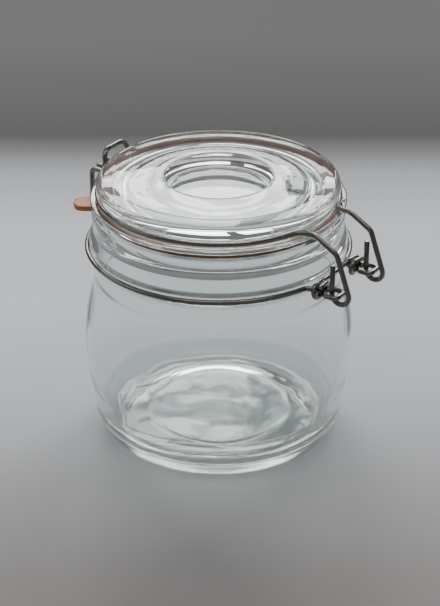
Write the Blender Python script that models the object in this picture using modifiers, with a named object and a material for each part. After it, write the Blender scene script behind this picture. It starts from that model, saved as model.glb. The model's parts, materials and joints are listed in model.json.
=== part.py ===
"""A clip-top preserving jar: glass jar, glass lid, rubber ring and the wire closure that holds them.

Metres, +Z up. The jar stands on Z = 0, the hinge is towards +X and the latch towards -X.
Shapes are worked out about the jar's own axis. All of them are then moved along X alike, so that
the whole object, whose hinge reaches further than its latch, is centred over the origin.
"""

from math import acos, atan2, ceil, cos, degrees, hypot, pi, radians, sin, sqrt

import bmesh
import bpy
from mathutils import Matrix, Vector

# Facets
RING_STEPS = 48
ARC_STEP = radians(20)
COIL_STEP = radians(30)
BINDING_STEPS = 17
RING_STEP = radians(7.5)
LEAD_STEPS = 8
HEEL_STEPS = 6
INNER_HEEL_STEPS = 4
RIM_STEPS = 5
NOSE_STEPS = 3
BINDING_APART = 12
COIL_APART = 8

# Clearances
GAP = 0.0003
COIL_GAP = 0.00045
PLUG_GAP = 0.0009
MERGE = 0.00003

# Wire
WIRE = 0.0020
WIRE_RADIUS = WIRE / 2
WRAP_RADIUS = WIRE + GAP
PITCH = WIRE + COIL_GAP

# Jar across, from the mouth out to the belly
MOUTH_RADIUS = 0.0395
FLANGE_WIDTH = 0.0081
GROOVE_STEP = 0.0006
WAIST_STEP = 0.0010
BELLY_STEP = 0.0040
FLANGE_RADIUS = MOUTH_RADIUS + FLANGE_WIDTH
GROOVE_RADIUS = FLANGE_RADIUS + GROOVE_STEP
WAIST_RADIUS = GROOVE_RADIUS - WAIST_STEP
BODY_RADIUS = WAIST_RADIUS + BELLY_STEP
NECK_RING = GROOVE_RADIUS + GAP + WIRE_RADIUS

# Jar body and foot
WIRE_HEIGHT = 0.0775
WALL = 0.0032
HEEL_HEIGHT = 0.0150
HEEL_WIDTH = 0.0077
HEEL_TUCK = 0.0030
HEEL_START = radians(-14)
BEARING_WIDTH = 0.0032
BEARING_RADIUS = BODY_RADIUS - HEEL_TUCK - HEEL_WIDTH
PUNT_EDGE = 0.0028
PUNT_RISE = 0.0014
PUNT_SHOULDER = 0.0098
PUNT_DEPTH = 0.0032
PUNT_CROWN = 0.0036
FLOOR_THICKNESS = 0.0060
INNER_HEEL_WIDTH = 0.0070
INNER_HEEL_HEIGHT = 0.0100
# Height as a share of WIRE_HEIGHT, then how far from the waist out to the body's radius
BODY_SIDE_SHARES = (
    (0.337, 0.751), (0.425, 0.918), (0.511, 1.006), (0.644, 0.817), (0.812, 0.131), (0.875, 0.0),
)

# Jar neck and mouth
NECK_BEAD = 0.0006
NECK_BEAD_RISE = 0.0038
LOWER_BEAD = 0.0004
LOWER_BEAD_DROP = 0.0036
FLANGE_THICKNESS = 0.0038
FLANGE_EDGE = 0.0010
MOUTH_RISE = 0.0153
MOUTH_DEPTH = 0.0065
MOUTH_LEAD = 0.0011
MOUTH_EDGE = 0.0005
NECK_WALL = 0.0038
LAND_HEIGHT = WIRE_HEIGHT + MOUTH_RISE

# Rubber ring, narrower than the lip above it, with a tab that reaches out between lip and flange
SEAL_THICKNESS = 0.0020
SEAL_WIDTH = 0.0066
TAB_LENGTH = 0.0081
TAB_WIDTH = 0.0100
TAB_ROOT = 0.0030
TAB_NOSE = 0.0028
TAB_ANGLE = radians(216)
PLUG_RADIUS = MOUTH_RADIUS - PLUG_GAP
SEAL_INNER = PLUG_RADIUS + GAP
SEAL_BOTTOM = LAND_HEIGHT + GAP

# Lid
LIP_OVERHANG = 0.0004
LIP_WIDTH = 0.0024
LIP_HEIGHT = 0.0019
LIP_EDGE = 0.0005
LIP_RADIUS = FLANGE_RADIUS + LIP_OVERHANG
RIM_RADIUS = LIP_RADIUS - LIP_WIDTH
RIM_HEIGHT = 0.0052
RIM_EDGE = 0.0030
RIM_HEEL = 0.0008
CROWN_RISE = 0.0003
WELL_RADIUS = 0.0204
WELL_DEPTH = 0.0058
WELL_TAPER = 0.0009
WELL_EDGE = 0.0009
LID_THICKNESS = 0.0082
PLUG_WIDTH = 0.0032
PLUG_DEPTH = 0.0040
PLUG_EDGE = 0.0008
BOSS_WIDTH = 0.0045
BOSS_DROP = 0.0016
BOSS_EDGE = 0.0006
LID_SEAT = SEAL_BOTTOM + SEAL_THICKNESS + GAP
LIP_TOP = LID_SEAT + LIP_HEIGHT
LID_WIRE_HEIGHT = LIP_TOP + GAP + WIRE_RADIUS
LID_RING = RIM_RADIUS + GAP * 2 - WIRE_RADIUS
RIM_BOTTOM = LID_WIRE_HEIGHT + WIRE_RADIUS + GAP
LID_TOP = RIM_BOTTOM + RIM_HEIGHT

# Rear wire's binding
COIL_START = 0.0017
BINDING_TURNS = 1.2
BINDING_LEAD = radians(5.2)
BINDING_LENGTH = COIL_START + BINDING_TURNS * PITCH

# Hooks of the lid wire, and the eyes that they hang in
HOOK_RADIUS = 0.0035
STUB_LENGTH = 0.0111
EYE_SPREAD = 0.0120
LEG_GAP = 0.0008
SIDE_PLAY = 0.0012
TIP_PLAY = 0.0009
ROOT_PLAY = 0.00136
EYE_FLARE = 0.0015
EYE_BEND = 0.0016
EYE_ROOT_BEND = 0.0008
EYE_ROOT = WIRE + LEG_GAP
EYE_WIDTH = (WIRE + SIDE_PLAY) * 2
EYE_TIP = HOOK_RADIUS + TIP_PLAY
HINGE_REACH = NECK_RING + BINDING_LENGTH + WIRE + ROOT_PLAY + HOOK_RADIUS

# Arms of the lid wire
KNEE_DROP = 0.0052
ARM_KNEE_OUT = -0.0020
ARM_KNEE_UP = LID_WIRE_HEIGHT - WIRE_HEIGHT - KNEE_DROP
ARM_KNEE_BEND = 0.0040
ARM_START = 0.0020
ARM_BEND = 0.0060

# Drop loop of the lid wire, which carries the lever
LEVER_HALF = 0.0072
COLLAR = 0.0005
DROP_HALF = LEVER_HALF + WIRE + COLLAR
DROP_REACH = 0.0066
DROP_LENGTH = 0.0126
DROP_BEND = 0.0024
PIVOT_REACH = LID_RING + DROP_REACH
PIVOT_HEIGHT = LID_WIRE_HEIGHT - DROP_LENGTH

# Catch of the neck wire, which the lever's hooks go under
CATCH_OUT = 0.0022
CATCH_INSET = 0.0015
CATCH_HALF = LEVER_HALF - CATCH_INSET
CATCH_BEND = 0.0017
CATCH_X = PIVOT_REACH + CATCH_OUT
NECK_BEND = 0.0025

# Latch lever, raised, leaning on the lip of the lid
LATCH_TURN = radians(158)
HOOK_TURN = radians(105)
LEAN = 0.0018
KNEE_OVER = 0.0024
KNEE_BEND = 0.0030
LOOP_BACK = 0.0013
LOOP_HEIGHT = 0.0046
TIP_BEND = 0.0042
KNEE_IN = DROP_REACH - LEAN
KNEE_UP = DROP_LENGTH + KNEE_OVER
TIP_IN = KNEE_IN - LOOP_BACK
TIP_UP = KNEE_UP + LOOP_HEIGHT


def clear_scene():
    for item in list(bpy.data.objects):
        bpy.data.objects.remove(item, do_unlink=True)


def new_collection(name):
    made = bpy.data.collections.new(name)
    bpy.context.scene.collection.children.link(made)
    return made


def material(name, colour, roughness, metallic=0.0, transmission=0.0):
    made = bpy.data.materials.new(name)
    made.use_nodes = True
    shader = made.node_tree.nodes["Principled BSDF"]
    shader.inputs["Base Color"].default_value = (*colour, 1.0)
    shader.inputs["Roughness"].default_value = roughness
    shader.inputs["Metallic"].default_value = metallic
    shader.inputs["Transmission Weight"].default_value = transmission
    return made


def arc(centre, radii, start, end, count):
    """Points on an ellipse's arc, from one angle to another."""
    return [
        (
            centre[0] + radii[0] * cos(start + (end - start) * i / count),
            centre[1] + radii[1] * sin(start + (end - start) * i / count),
        )
        for i in range(count + 1)
    ]


def flowing(points, steps):
    """A smooth curve through the points, with a few steps between each two."""
    found = []
    for i in range(len(points) - 1):
        before = Vector(points[max(i - 1, 0)])
        a = Vector(points[i])
        b = Vector(points[i + 1])
        after = Vector(points[min(i + 2, len(points) - 1)])
        for step in range(steps):
            t = step / steps
            found.append(
                tuple(
                    0.5
                    * (
                        2 * a
                        + (b - before) * t
                        + (2 * before - 5 * a + 4 * b - after) * t**2
                        + (3 * a - before - 3 * b + after) * t**3
                    )
                )
            )
    return found + [tuple(points[-1])]


def turned(name, profile, look, collection):
    """A closed profile of (radius, height), down its outer side, turned about the jar's axis."""
    mesh = bpy.data.meshes.new(name)
    shape = bmesh.new()
    corners = [shape.verts.new((radius, 0, height)) for radius, height in profile]
    for one, other in zip(corners, corners[1:]):
        shape.edges.new((one, other))
    if profile[0][0] > 0:
        shape.edges.new((corners[-1], corners[0]))
    shape.to_mesh(mesh)
    shape.free()
    made = bpy.data.objects.new(name, mesh)
    collection.objects.link(made)
    screw = made.modifiers.new("turn", "SCREW")
    screw.steps = RING_STEPS
    screw.render_steps = RING_STEPS
    screw.use_merge_vertices = True
    screw.merge_threshold = MERGE
    screw.use_smooth_shade = True
    mesh.materials.append(look)
    return made


def jar_profile():
    """The jar's section: out over the mouth, down the outside, under the base and up the inside."""
    top = LAND_HEIGHT
    flange_foot = top - FLANGE_THICKNESS
    side = [
        (WAIST_RADIUS + share * (BODY_RADIUS - WAIST_RADIUS), height * WIRE_HEIGHT)
        for height, share in BODY_SIDE_SHARES
    ]
    neck = [
        (GROOVE_RADIUS + LOWER_BEAD, WIRE_HEIGHT - LOWER_BEAD_DROP),
        (GROOVE_RADIUS, WIRE_HEIGHT - WIRE_RADIUS),
        (GROOVE_RADIUS, WIRE_HEIGHT + WIRE_RADIUS),
        (GROOVE_RADIUS + NECK_BEAD, WIRE_HEIGHT + NECK_BEAD_RISE),
        (WAIST_RADIUS, (WIRE_HEIGHT + NECK_BEAD_RISE + flange_foot) / 2),
    ]
    lip = arc(
        (FLANGE_RADIUS - FLANGE_EDGE, top - FLANGE_EDGE), (FLANGE_EDGE, FLANGE_EDGE), pi / 2, 0, 3
    )
    lower_lip = arc(
        (FLANGE_RADIUS - FLANGE_EDGE, flange_foot + FLANGE_EDGE),
        (FLANGE_EDGE, FLANGE_EDGE), 0, -pi / 3, 2,
    )
    heel = arc(
        (BEARING_RADIUS, HEEL_HEIGHT), (HEEL_WIDTH, HEEL_HEIGHT), HEEL_START, -pi / 2, HEEL_STEPS
    )
    body = flowing([heel[0]] + side + neck, 2)
    bearing_inner = BEARING_RADIUS - BEARING_WIDTH
    under = [
        (bearing_inner, 0),
        (bearing_inner - PUNT_EDGE, PUNT_RISE),
        (bearing_inner - PUNT_SHOULDER, PUNT_DEPTH),
        (0, PUNT_CROWN),
    ]
    floor = FLOOR_THICKNESS
    inner = [(radius - WALL, height) for radius, height in side[:-1]]
    inner_heel = arc(
        (BEARING_RADIUS + HEEL_WIDTH - WALL - INNER_HEEL_WIDTH, floor + INNER_HEEL_HEIGHT),
        (INNER_HEEL_WIDTH, INNER_HEEL_HEIGHT), -pi / 2, 0, INNER_HEEL_STEPS,
    )
    bore_foot = top - MOUTH_DEPTH
    throat = flowing(
        [inner_heel[-1]]
        + inner
        + [
            (WAIST_RADIUS - NECK_WALL, side[-1][1]),
            (GROOVE_RADIUS - NECK_WALL, WIRE_HEIGHT),
            (MOUTH_RADIUS + MOUTH_LEAD, bore_foot - MOUTH_LEAD),
        ],
        1,
    )
    mouth = [
        (MOUTH_RADIUS, bore_foot + MOUTH_LEAD),
        (MOUTH_RADIUS, top - MOUTH_EDGE),
        (MOUTH_RADIUS + MOUTH_EDGE, top),
    ]
    inside = [(0, floor)] + inner_heel[:-1] + throat + mouth
    return inside + lip + lower_lip + body[::-1] + heel[1:] + under


def lid_profile():
    """The lid's section, from the middle of its well out, down its edge and back in underneath."""
    well_floor = LID_TOP + CROWN_RISE - WELL_DEPTH
    well = [
        (0, well_floor),
        (WELL_RADIUS - WELL_TAPER - WELL_EDGE, well_floor),
        (WELL_RADIUS - WELL_TAPER, well_floor + WELL_EDGE),
        (WELL_RADIUS, LID_TOP + CROWN_RISE - WELL_EDGE),
        (WELL_RADIUS + WELL_EDGE, LID_TOP + CROWN_RISE),
    ]
    rim = arc((RIM_RADIUS - RIM_EDGE, LID_TOP - RIM_EDGE), (RIM_EDGE, RIM_EDGE), pi / 2, 0, RIM_STEPS)
    rim += arc((RIM_RADIUS - RIM_HEEL, RIM_BOTTOM + RIM_HEEL), (RIM_HEEL, RIM_HEEL), 0, -pi / 2, 2)
    floor = LID_RING - WIRE_RADIUS - GAP
    groove = [(floor, RIM_BOTTOM), (floor, LIP_TOP)]
    lip = [
        (LIP_RADIUS - LIP_EDGE, LIP_TOP),
        (LIP_RADIUS, LIP_TOP - LIP_EDGE),
        (LIP_RADIUS, LID_SEAT + LIP_EDGE),
        (LIP_RADIUS - LIP_EDGE, LID_SEAT),
    ]
    plug_foot = LID_SEAT - PLUG_DEPTH
    hollow_top = LID_TOP - LID_THICKNESS
    hollow = PLUG_RADIUS - PLUG_WIDTH
    boss = WELL_RADIUS + BOSS_WIDTH
    boss_foot = hollow_top - BOSS_DROP
    under = [
        (PLUG_RADIUS, LID_SEAT),
        (PLUG_RADIUS, plug_foot + PLUG_EDGE),
        (PLUG_RADIUS - PLUG_EDGE, plug_foot),
        (hollow + PLUG_EDGE, plug_foot),
        (hollow, plug_foot + PLUG_EDGE),
        (hollow - PLUG_EDGE, hollow_top - PLUG_EDGE),
        (hollow - PLUG_EDGE * 3, hollow_top),
        (boss + BOSS_EDGE, hollow_top),
        (boss, hollow_top - BOSS_EDGE),
        (boss, boss_foot + BOSS_EDGE),
        (boss - BOSS_EDGE, boss_foot),
        (0, boss_foot),
    ]
    return well + rim + groove + lip + under


def rubber_ring(look, collection):
    """A flat ring with a pull tab, cut as one outline with a hole."""
    outer = SEAL_INNER + SEAL_WIDTH
    reach = outer + TAB_LENGTH
    nose = TAB_WIDTH / 2
    half_root = (nose + TAB_ROOT) / outer
    along = Vector((cos(TAB_ANGLE), sin(TAB_ANGLE)))
    across = Vector((-along.y, along.x))
    count = RING_STEPS * 3 // 2
    edge = [
        Vector((cos(angle), sin(angle))) * outer
        for angle in (
            TAB_ANGLE + half_root + (2 * pi - 2 * half_root) * i / count for i in range(count + 1)
        )
    ]
    tab = [along * (outer + TAB_ROOT) - across * nose]
    tab += [
        along * (reach - TAB_NOSE * (1 - cos(turn))) + across * nose * sin(turn)
        for turn in (pi / 2 * step / NOSE_STEPS for step in range(-NOSE_STEPS, NOSE_STEPS + 1))
    ]
    tab += [along * (outer + TAB_ROOT) + across * nose]
    hole = [
        Vector((cos(angle), sin(angle))) * SEAL_INNER
        for angle in (2 * pi * i / RING_STEPS for i in range(RING_STEPS))
    ]
    curve = bpy.data.curves.new("rubber_ring", "CURVE")
    curve.dimensions = "2D"
    curve.fill_mode = "BOTH"
    curve.extrude = SEAL_THICKNESS / 2
    for outline in (edge + tab, hole):
        spline = curve.splines.new("POLY")
        spline.points.add(len(outline) - 1)
        for point, place in zip(spline.points, outline):
            point.co = (place.x, place.y, 0, 1)
        spline.use_cyclic_u = True
    curve.materials.append(look)
    made = bpy.data.objects.new("rubber_ring", curve)
    collection.objects.link(made)
    made.location.z = SEAL_BOTTOM + SEAL_THICKNESS / 2
    return made


def rounded(points, bends):
    """A path whose inner corners are turned at the given radii."""
    points = [Vector(point) for point in points]
    found = [points[0]]
    for before, corner, after, bend in zip(points, points[1:], points[2:], bends):
        arriving = (corner - before).normalized()
        leaving = (after - corner).normalized()
        turn = arriving.angle(leaving)
        reach = bend * sin(turn / 2) / cos(turn / 2)
        axis = arriving.cross(leaving).normalized()
        centre = corner - arriving * reach + axis.cross(arriving) * bend
        spoke = corner - arriving * reach - centre
        count = max(2, ceil(turn / ARC_STEP))
        for i in range(count + 1):
            found.append(centre + Matrix.Rotation(turn * i / count, 3, axis) @ spoke)
    return found + [points[-1]]


def ring_arc(radius, height, start, end):
    """Points round the jar's axis."""
    count = max(2, ceil(abs(end - start) / RING_STEP))
    return [
        Vector((radius * cos(angle), radius * sin(angle), height))
        for angle in (start + (end - start) * i / count for i in range(count + 1))
    ]


def turn_off(radius, height, leg, bend, side):
    """Where a ring turns outwards into a straight leg at y = leg.

    Gives the ring's angle there, and the points from the ring to the leg. side is 1 at the
    back of the jar and -1 at the front.
    """
    middle_y = leg + bend
    middle_x = sqrt((radius + bend) ** 2 - middle_y**2)
    start = atan2(-middle_y, -middle_x)
    count = max(2, ceil((start + pi / 2) / -ARC_STEP))
    points = [
        Vector((side * (middle_x + bend * cos(angle)), middle_y + bend * sin(angle), height))
        for angle in (start + (-pi / 2 - start) * i / count for i in range(count + 1))
    ]
    ring_angle = atan2(points[0].y, points[0].x)
    return ring_angle, points


def mirrored(half):
    """A path that starts at y = 0, with its mirror image before it."""
    return [Vector((point.x, -point.y, point.z)) for point in half[:0:-1]] + list(half)


def least_gap(points, skip):
    """The least space that a wire leaves to its own further turns, face to face."""
    return min(
        (one - other).length
        for i, one in enumerate(points)
        for other in points[i + skip :]
    ) - WIRE


def tidy_path(points):
    """The path without points that lie on each other."""
    kept = [points[0]]
    for point in points[1:]:
        if (point - kept[-1]).length > GAP / 2:
            kept.append(point)
    return kept


def wire(name, points, look, collection, origin=(0, 0, 0)):
    """A round wire along a path about the jar's axis, with its object placed on origin."""
    points = tidy_path(points)
    curve = bpy.data.curves.new(name, "CURVE")
    curve.dimensions = "3D"
    curve.bevel_depth = WIRE_RADIUS
    curve.bevel_resolution = 2
    curve.use_fill_caps = True
    spline = curve.splines.new("POLY")
    spline.points.add(len(points) - 1)
    for point, place in zip(spline.points, points):
        point.co = (*(place - Vector(origin)), 1)
    curve.materials.append(look)
    made = bpy.data.objects.new(name, curve)
    collection.objects.link(made)
    made.location = origin
    return made


def neck_wire_path():
    """Half of the long neck wire, from the middle of its front catch to the end of its hinge eye."""
    height = WIRE_HEIGHT
    front_angle, front_turn = turn_off(NECK_RING, height, CATCH_HALF, NECK_BEND, -1)
    back_angle, back_turn = turn_off(
        NECK_RING, height, EYE_SPREAD + EYE_ROOT / 2, NECK_BEND, 1
    )
    catch = rounded(
        [
            (-CATCH_X, 0, height),
            (-CATCH_X, CATCH_HALF, height),
            tuple(front_turn[-1]),
        ],
        [CATCH_BEND],
    )
    outer_root = EYE_SPREAD + EYE_ROOT / 2
    inner_root = EYE_SPREAD - EYE_ROOT / 2
    outer = EYE_SPREAD + EYE_WIDTH / 2
    inner = EYE_SPREAD - EYE_WIDTH / 2
    wide_x = HINGE_REACH - EYE_TIP
    root_x = wide_x - EYE_FLARE
    eye = rounded(
        [
            tuple(back_turn[-1]),
            (root_x, outer_root, height),
            (wide_x, outer, height),
            (HINGE_REACH, outer, height),
            (HINGE_REACH, inner, height),
            (wide_x, inner, height),
            (root_x, inner_root, height),
            (NECK_RING + WIRE_RADIUS, inner_root, height),
        ],
        [EYE_ROOT_BEND, EYE_ROOT_BEND, EYE_BEND, EYE_BEND, EYE_ROOT_BEND, EYE_ROOT_BEND],
    )
    return catch + front_turn[::-1] + ring_arc(NECK_RING, height, front_angle, back_angle) + back_turn + eye


def rear_wire_path():
    """Half of the short rear wire, from behind the neck to its binding round the eye's two legs."""
    start_x = NECK_RING + COIL_START
    inner = EYE_SPREAD - EYE_ROOT / 2
    neck = ring_arc(NECK_RING, WIRE_HEIGHT, 0, BINDING_LEAD)
    leave = neck[-1]
    heading = Vector((-sin(BINDING_LEAD), cos(BINDING_LEAD), 0))
    meet = Vector((start_x, inner, WIRE_HEIGHT + WRAP_RADIUS))
    span = (meet - leave).length
    lead = []
    for i in range(1, LEAD_STEPS):
        t = i / LEAD_STEPS
        lead.append(
            leave * (2 * t**3 - 3 * t**2 + 1)
            + heading * span * (t**3 - 2 * t**2 + t)
            + meet * (3 * t**2 - 2 * t**3)
            + Vector((0, span, 0)) * (t**3 - t**2)
        )
    turn_length = 2 * EYE_ROOT + 2 * pi * WRAP_RADIUS
    advance = PITCH / turn_length
    count = ceil(BINDING_TURNS * BINDING_STEPS)
    binding = []
    for i in range(count + 1):
        run = BINDING_TURNS * turn_length * i / count
        y, z = oval(run % turn_length)
        binding.append(Vector((start_x + run * advance, y, WIRE_HEIGHT + z)))
    print(f"least gap in the rear wire's binding: {least_gap(binding, BINDING_APART):.5f} m")
    return neck + lead + binding


def oval(run):
    """A point on the oval round the eye's two legs, by distance from above the inner leg."""
    inner = EYE_SPREAD - EYE_ROOT / 2
    outer = EYE_SPREAD + EYE_ROOT / 2
    half_turn = pi * WRAP_RADIUS
    if run < EYE_ROOT:
        return inner + run, WRAP_RADIUS
    run -= EYE_ROOT
    if run < half_turn:
        turn = pi / 2 - run / WRAP_RADIUS
        return outer + WRAP_RADIUS * cos(turn), WRAP_RADIUS * sin(turn)
    run -= half_turn
    if run < EYE_ROOT:
        return outer - run, -WRAP_RADIUS
    turn = -pi / 2 - (run - EYE_ROOT) / WRAP_RADIUS
    return inner + WRAP_RADIUS * cos(turn), WRAP_RADIUS * sin(turn)


def lid_wire_path():
    """Half of the lid wire, from the middle of its front bar to the end of its hinge hook."""
    height = LID_WIRE_HEIGHT
    front_angle, front_turn = turn_off(LID_RING, height, DROP_HALF, DROP_BEND, -1)
    back_angle, back_turn = turn_off(LID_RING, height, EYE_SPREAD, ARM_BEND, 1)
    drop = rounded(
        [
            (-PIVOT_REACH, 0, PIVOT_HEIGHT),
            (-PIVOT_REACH, DROP_HALF, PIVOT_HEIGHT),
            (-PIVOT_REACH, DROP_HALF, height),
            tuple(front_turn[-1]),
        ],
        [DROP_BEND, DROP_BEND],
    )
    knee_x = HINGE_REACH + ARM_KNEE_OUT
    knee_z = WIRE_HEIGHT + ARM_KNEE_UP
    bearing = atan2(ARM_KNEE_UP, ARM_KNEE_OUT)
    meet = bearing - acos(HOOK_RADIUS / hypot(ARM_KNEE_OUT, ARM_KNEE_UP))
    count = ceil((meet + pi) / ARC_STEP)
    hook = [
        Vector(
            (
                HINGE_REACH + HOOK_RADIUS * cos(angle),
                EYE_SPREAD,
                WIRE_HEIGHT + HOOK_RADIUS * sin(angle),
            )
        )
        for angle in (meet - (meet + pi) * i / count for i in range(count + 1))
    ]
    arm = rounded(
        [
            tuple(back_turn[-1]),
            (back_turn[-1].x + ARM_START, EYE_SPREAD, height),
            (knee_x, EYE_SPREAD, knee_z),
            tuple(hook[0]),
        ],
        [ARM_BEND, ARM_KNEE_BEND],
    )
    stub = Vector((HINGE_REACH - HOOK_RADIUS, EYE_SPREAD, WIRE_HEIGHT + STUB_LENGTH))
    ring = ring_arc(LID_RING, height, front_angle, back_angle)
    return drop + front_turn[::-1] + ring + back_turn + arm + hook + [stub]


def lever_path():
    """Half of the raised latch lever: finger loop, leg, coil round the lid wire's bar, and hook."""
    pivot = Vector((-PIVOT_REACH, 0, PIVOT_HEIGHT))
    catch_x = PIVOT_REACH - CATCH_X
    catch_z = WIRE_HEIGHT - PIVOT_HEIGHT
    hook_distance = hypot(catch_x, catch_z)
    hook_bearing = atan2(catch_z, catch_x) - LATCH_TURN
    knee_distance = hypot(KNEE_IN, KNEE_UP)
    meet = atan2(KNEE_UP, KNEE_IN) + acos(WRAP_RADIUS / knee_distance)
    leave = hook_bearing - pi / 2
    while leave < meet + 2 * pi:
        leave += 2 * pi
    sweep = leave - meet
    count = ceil(sweep / COIL_STEP)
    coil = []
    for i in range(count + 1):
        angle = meet + sweep * i / count
        across = LEVER_HALF - PITCH * (angle - meet) / (2 * pi)
        coil.append(Vector((WRAP_RADIUS * cos(angle), across, WRAP_RADIUS * sin(angle))))
    loop = rounded(
        [
            (TIP_IN, 0, TIP_UP),
            (TIP_IN, LEVER_HALF, TIP_UP),
            (KNEE_IN, LEVER_HALF, KNEE_UP),
            tuple(coil[0]),
        ],
        [TIP_BEND, KNEE_BEND],
    )
    across = coil[-1].y
    middle_x = hook_distance * cos(hook_bearing)
    middle_z = hook_distance * sin(hook_bearing)
    hook_count = ceil(HOOK_TURN / ARC_STEP)
    hook = [
        Vector((middle_x + WRAP_RADIUS * cos(angle), across, middle_z + WRAP_RADIUS * sin(angle)))
        for angle in (leave + HOOK_TURN * i / hook_count for i in range(hook_count + 1))
    ]
    print(f"least gap in the lever's coil: {least_gap(coil, COIL_APART):.5f} m")
    return [pivot + point for point in loop + coil + hook]


def main():
    clear_scene()
    parts = new_collection("preserving_jar")
    clear_glass = material("clear_glass", (0.86, 0.90, 0.88), 0.04, transmission=1.0)
    lid_glass = material("lid_glass", (0.86, 0.90, 0.88), 0.05, transmission=1.0)
    orange_rubber = material("orange_rubber", (0.62, 0.24, 0.11), 0.55)
    steel = [material(f"steel_{i}", (0.34, 0.33, 0.31), 0.28, metallic=1.0) for i in range(4)]
    turned("glass_jar", jar_profile(), clear_glass, parts)
    turned("glass_lid", lid_profile(), lid_glass, parts)
    rubber_ring(orange_rubber, parts)
    lever = lever_path()
    lid_wire = lid_wire_path()
    hinge = (HINGE_REACH, 0, WIRE_HEIGHT)
    pivot = (-PIVOT_REACH, 0, PIVOT_HEIGHT)
    wire("neck_wire", mirrored(neck_wire_path()), steel[0], parts)
    wire("rear_wire", mirrored(rear_wire_path()), steel[1], parts)
    wire("lid_wire", mirrored(lid_wire), steel[2], parts, hinge)
    wire("latch_lever", mirrored(lever), steel[3], parts, pivot)
    shift = -(min(point.x for point in lever) + max(point.x for point in lid_wire)) / 2
    for item in parts.objects:
        item.location.x += shift
    print(f"jar axis x {shift:.5f}")
    print(f"hinge axis x {shift + HINGE_REACH:.5f} z {WIRE_HEIGHT:.5f}")
    print(f"latch axis x {shift - PIVOT_REACH:.5f} z {PIVOT_HEIGHT:.5f}")
    print(f"latch turn {degrees(LATCH_TURN):.1f} degrees, top of the lid {LID_TOP:.5f}")


main()
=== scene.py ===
# %% [markdown]
# # A clip-top preserving jar
# A round glass jar with a glass lid, a rubber ring between them and four bent wires that hold the
# lid down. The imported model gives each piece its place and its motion. This lesson makes the fine
# surface of every piece and the look of glass, rubber and steel. All lengths are in metres.

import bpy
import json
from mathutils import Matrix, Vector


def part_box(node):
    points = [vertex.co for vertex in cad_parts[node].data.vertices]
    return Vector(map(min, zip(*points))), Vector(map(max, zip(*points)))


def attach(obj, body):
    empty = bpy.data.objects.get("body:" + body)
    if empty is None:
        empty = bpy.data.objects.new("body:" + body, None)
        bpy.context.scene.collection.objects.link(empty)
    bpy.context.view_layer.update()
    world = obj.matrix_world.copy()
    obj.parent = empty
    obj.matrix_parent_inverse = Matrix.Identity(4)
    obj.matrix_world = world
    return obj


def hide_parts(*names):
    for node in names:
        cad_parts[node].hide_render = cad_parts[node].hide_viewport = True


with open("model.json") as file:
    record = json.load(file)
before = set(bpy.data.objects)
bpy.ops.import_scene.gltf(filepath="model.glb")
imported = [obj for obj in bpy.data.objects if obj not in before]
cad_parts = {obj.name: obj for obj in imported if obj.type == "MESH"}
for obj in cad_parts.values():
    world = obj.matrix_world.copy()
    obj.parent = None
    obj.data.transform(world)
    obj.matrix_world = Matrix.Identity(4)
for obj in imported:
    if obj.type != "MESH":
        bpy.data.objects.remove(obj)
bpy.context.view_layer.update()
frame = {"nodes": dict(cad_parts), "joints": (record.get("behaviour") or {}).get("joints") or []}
print("nodes:", sorted(frame["nodes"]))

# %% [markdown]
# The shapes need little more than bmesh, which holds a mesh while it is being made, and Blender's
# vectors, matrices and noise.

# %% Tools
import json
from math import acos, atan2, ceil, cos, degrees, hypot, pi, radians, sin, sqrt

import bmesh
import bpy
from mathutils import Matrix, Vector, noise

MILLIMETRES = 1000
print("Blender", bpy.app.version_string)

# %% [markdown]
# The frame says where the jar's own axis stands, how high the wires lie and where the two joints
# turn. Reading these places from it keeps every fine piece on the piece that it stands for. The gap
# is the clearance between neighbours, such as a wire and its groove.

# %% Places from the frame
jar_low, jar_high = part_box("glass_jar")
wire_low, wire_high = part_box("neck_wire")
ring_low, ring_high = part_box("rubber_ring")
lid_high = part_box("glass_lid")[1]
joints = {joint["name"]: Vector(joint["pos_m"]) for joint in frame["joints"]}
JAR_X = (jar_low.x + jar_high.x) / 2
WIRE_RADIUS = (wire_high.z - wire_low.z) / 2
WIRE_HEIGHT = joints["lid_hinge"].z
HINGE_REACH = joints["lid_hinge"].x - JAR_X
PIVOT_REACH = JAR_X - joints["latch_pivot"].x
PIVOT_HEIGHT = joints["latch_pivot"].z
GAP = 0.0003
LAND_HEIGHT = jar_high.z
LID_SEAT = ring_high.z + GAP
LID_HIGHEST = lid_high.z
print(f"jar axis at x {JAR_X * MILLIMETRES:.2f} mm, hinge {HINGE_REACH * MILLIMETRES:.1f} mm out")

# %% [markdown]
# Some shapes are easier to think of as a path than as a mesh. These helpers draw the paths: an arc,
# a smooth curve through a few points, and a polyline whose corners are turned at given radii, as a
# wire bender or a mould maker would give them.

# %% Paths
ARC_STEP = radians(7.5)


def arc(centre, radius, start, end, count):
    """Places along an arc in the X-Z plane. The radius is a pair, across and up: it may be oval."""
    turns = [start + (end - start) * i / count for i in range(count + 1)]
    return [Vector((centre[0] + radius[0] * cos(t), 0, centre[1] + radius[1] * sin(t))) for t in turns]


def flowing(points, steps):
    """A Catmull-Rom curve through the points, with the same number of steps between each two."""
    found = []
    for i in range(len(points) - 1):
        before = points[max(i - 1, 0)]
        a = points[i]
        b = points[i + 1]
        after = points[min(i + 2, len(points) - 1)]
        for step in range(steps):
            t = step / steps
            straight = 2 * a + (b - before) * t
            bend = (2 * before - 5 * a + 4 * b - after) * t**2 + (3 * a - before - 3 * b + after) * t**3
            found.append((straight + bend) / 2)
    return found + [points[-1]]


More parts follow.
